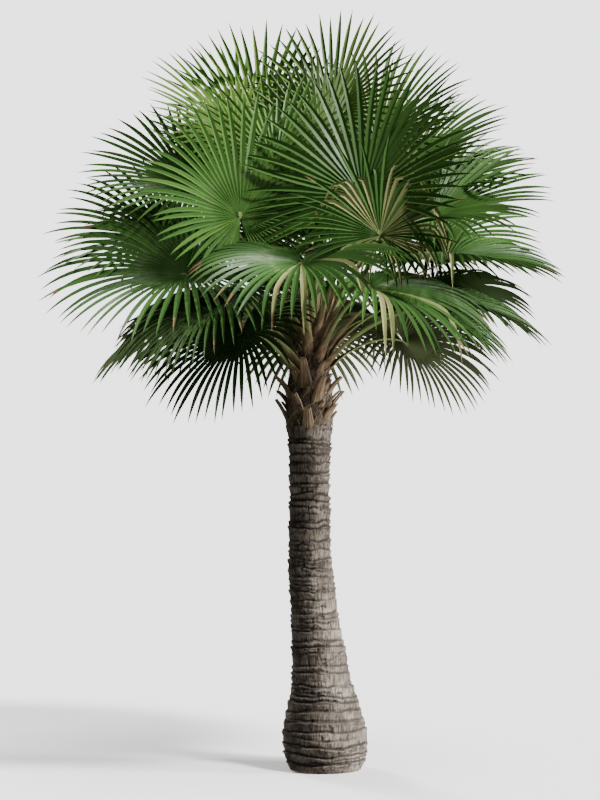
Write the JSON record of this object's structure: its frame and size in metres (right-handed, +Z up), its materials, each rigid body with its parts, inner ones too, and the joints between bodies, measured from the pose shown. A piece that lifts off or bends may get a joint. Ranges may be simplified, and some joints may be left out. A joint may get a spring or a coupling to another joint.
{
  "type": "cabbage tree palm",
  "caption": "Fan palm tree with a ringed trunk that swells at its foot, old leaf bases and a full round crown of fan fronds.",
  "frame": {"origin": "centre of the flat cut under the trunk, at ground level", "axes": "+Z up, -Y towards the viewer of the picture, +X to the viewer's right"},
  "size_m": [4.3449, 4.1278, 6.52],
  "materials": {
    "bark": "rough grey-brown ringed bark with fine upright cracks",
    "leaf_base": "dry fibrous brown straps",
    "frond": "leathery green leaf, slightly glossy above and duller below",
    "spear_leaf": "pale green folded young leaf"
  },
  "bodies": {
    "root": {"frond_01": "frond", "frond_02": "frond", "frond_03": "frond", "frond_04": "frond", "frond_05": "frond", "frond_06": "frond", "frond_07": "frond", "frond_08": "frond", "frond_09": "frond", "frond_10": "frond", "frond_11": "frond", "frond_12": "frond", "frond_13": "frond", "frond_14": "frond", "frond_15": "frond", "frond_16": "frond", "frond_17": "frond", "frond_18": "frond", "frond_19": "frond", "frond_20": "frond", "frond_21": "frond", "frond_22": "frond", "frond_23": "frond", "frond_24": "frond", "frond_25": "frond", "frond_26": "frond", "frond_27": "frond", "frond_28": "frond", "frond_29": "frond", "frond_30": "frond", "frond_31": "frond", "frond_32": "frond", "frond_33": "frond", "frond_34": "frond", "frond_35": "frond", "frond_36": "frond", "frond_37": "frond", "frond_38": "frond", "frond_39": "frond", "frond_40": "frond", "frond_41": "frond", "frond_42": "frond", "frond_43": "frond", "frond_44": "frond", "leaf_base_01": "leaf_base", "leaf_base_02": "leaf_base", "leaf_base_03": "leaf_base", "leaf_base_04": "leaf_base", "leaf_base_05": "leaf_base", "leaf_base_06": "leaf_base", "leaf_base_07": "leaf_base", "leaf_base_08": "leaf_base", "leaf_base_09": "leaf_base", "leaf_base_10": "leaf_base", "leaf_base_11": "leaf_base", "leaf_base_12": "leaf_base", "leaf_base_13": "leaf_base", "leaf_base_14": "leaf_base", "spear_leaf": "spear_leaf", "trunk": "bark"}
  },
  "joints": []
}
